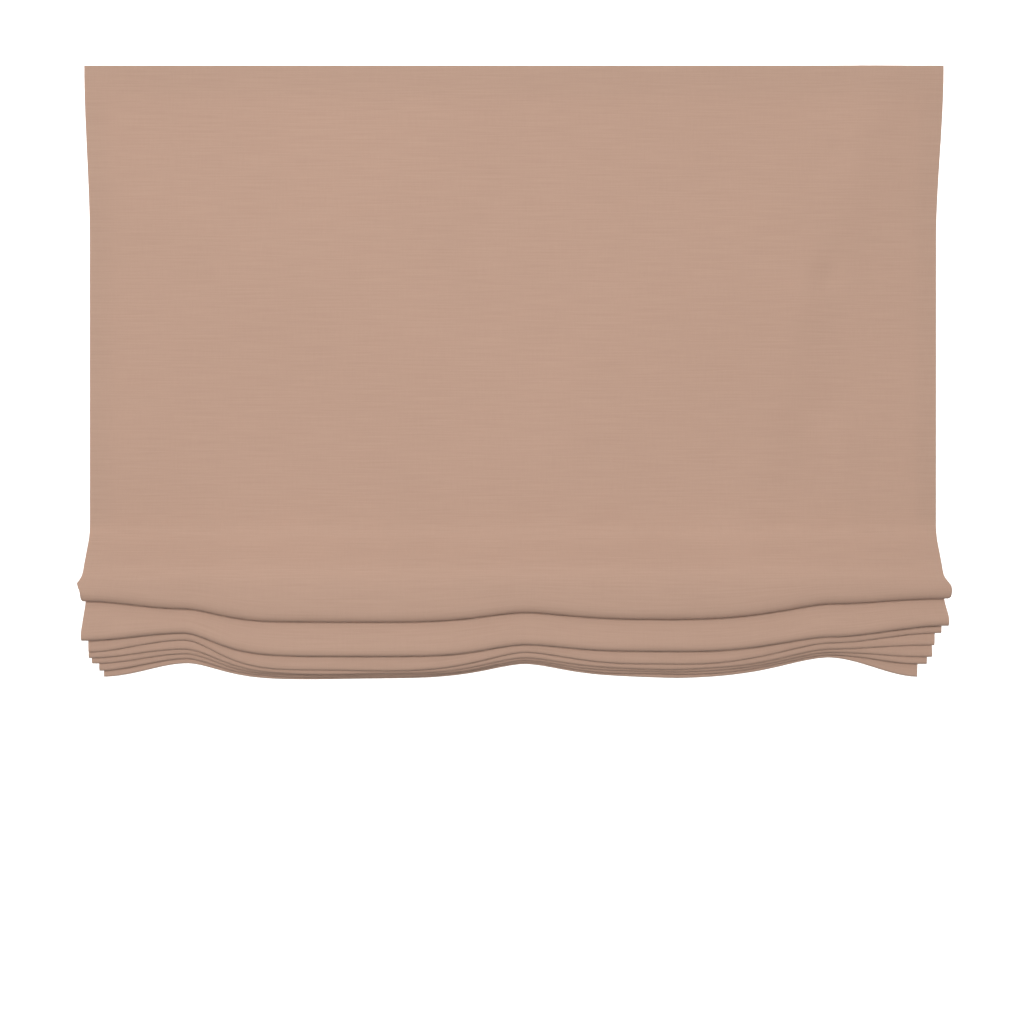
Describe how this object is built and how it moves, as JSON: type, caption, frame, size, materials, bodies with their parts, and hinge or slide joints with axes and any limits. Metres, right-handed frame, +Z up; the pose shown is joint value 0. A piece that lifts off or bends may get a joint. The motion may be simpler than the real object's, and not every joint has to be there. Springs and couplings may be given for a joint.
{
  "type": "roman blind",
  "caption": "Soft roman blind, part raised: plain cloth on a slim headrail with cord drums, ring rows, hem weight, chain control and hook-in brackets.",
  "frame": {"origin": "on the wall plane, half way between the two wall screws", "axes": "+X along the blind's width, towards the chain control; +Y into the wall; +Z up"},
  "size_m": [1.2, 0.0694, 0.8474],
  "materials": {
    "cloth": "matte",
    "tape": "matte",
    "headrail": "satin",
    "white_plastic": "matte",
    "grey_plastic": "matte",
    "clear_ring": "gloss",
    "plated_steel": "satin",
    "spring_steel": "satin",
    "lift_cord": "matte",
    "weighted_cord": "matte"
  },
  "bodies": {
    "root": {"headrail": "headrail", "end_cap": "white_plastic", "control_housing": "white_plastic", "control_cover": "white_plastic", "control_screws": "plated_steel", "brake_spring": "spring_steel", "hook_tape": "tape", "loop_tape": "tape", "fabric_panel": "cloth", "ring_row_1": "clear_ring", "bracket_left": "plated_steel", "bracket_right": "plated_steel", "lever_rivet_left": "plated_steel", "lever_rivet_right": "plated_steel", "drum_cradle_left": "white_plastic", "drum_cradle_centre": "white_plastic", "drum_cradle_right": "white_plastic", "lift_cord_left": "lift_cord", "lift_cord_centre": "lift_cord", "lift_cord_right": "lift_cord"},
    "drive": {"drive_shaft": "plated_steel", "shaft_bush": "grey_plastic", "clutch_hub": "grey_plastic", "chain_wheel": "grey_plastic", "cord_drum_left": "grey_plastic", "cord_drum_centre": "grey_plastic", "cord_drum_right": "grey_plastic", "cord_winding_left": "lift_cord", "cord_winding_centre": "lift_cord", "cord_winding_right": "lift_cord"},
    "lift": {"fabric_folds": "cloth", "bottom_weight": "weighted_cord", "ring_row_5": "clear_ring", "ring_row_6": "clear_ring", "ring_row_7": "clear_ring", "ring_row_8": "clear_ring", "ring_row_9": "clear_ring", "ring_row_10": "clear_ring", "cord_stop_left": "clear_ring", "cord_stop_centre": "clear_ring", "cord_stop_right": "clear_ring"},
    "row_2": {"ring_row_2": "clear_ring"},
    "row_3": {"ring_row_3": "clear_ring"},
    "row_4": {"ring_row_4": "clear_ring"},
    "lever_left": {"bracket_lever_left": "plated_steel"},
    "lever_right": {"bracket_lever_right": "plated_steel"}
  },
  "joints": [
    {"name": "blind_lift", "type": "slide", "parent": "root", "child": "lift", "axis": [0, 0, 1], "range_m": [0, 0.5775], "deforming": ["fabric_panel", "lift_cord_left", "lift_cord_centre", "lift_cord_right"]},
    {"name": "drive_turn", "type": "hinge", "parent": "root", "child": "drive", "pos_m": [-0.595, -0.019, -0.0125], "axis": [-1, 0, 0], "range_deg": [0, 3597]},
    {"name": "row_2_slide", "type": "slide", "parent": "root", "child": "row_2", "axis": [0, 0, 1], "range_m": [0, 0.1685]},
    {"name": "row_3_slide", "type": "slide", "parent": "root", "child": "row_3", "axis": [0, 0, 1], "range_m": [0, 0.3365]},
    {"name": "row_4_slide", "type": "slide", "parent": "root", "child": "row_4", "axis": [0, 0, 1], "range_m": [0, 0.5045]},
    {"name": "lever_left_swivel", "type": "hinge", "parent": "root", "child": "lever_left", "pos_m": [-0.4, -0.016, 0.01], "axis": [0, 0, 1], "range_deg": [0, 90]},
    {"name": "lever_right_swivel", "type": "hinge", "parent": "root", "child": "lever_right", "pos_m": [0.4, -0.016, 0.01], "axis": [0, 0, 1], "range_deg": [0, 90]}
  ],
  "couplings": [
    {"joint": "drive_turn", "follows": "blind_lift", "rad_per_m": 108.7},
    {"joint": "row_2_slide", "follows": "blind_lift", "ratio": 0.2909},
    {"joint": "row_3_slide", "follows": "blind_lift", "ratio": 0.5818},
    {"joint": "row_4_slide", "follows": "blind_lift", "ratio": 0.8727}
  ]
}
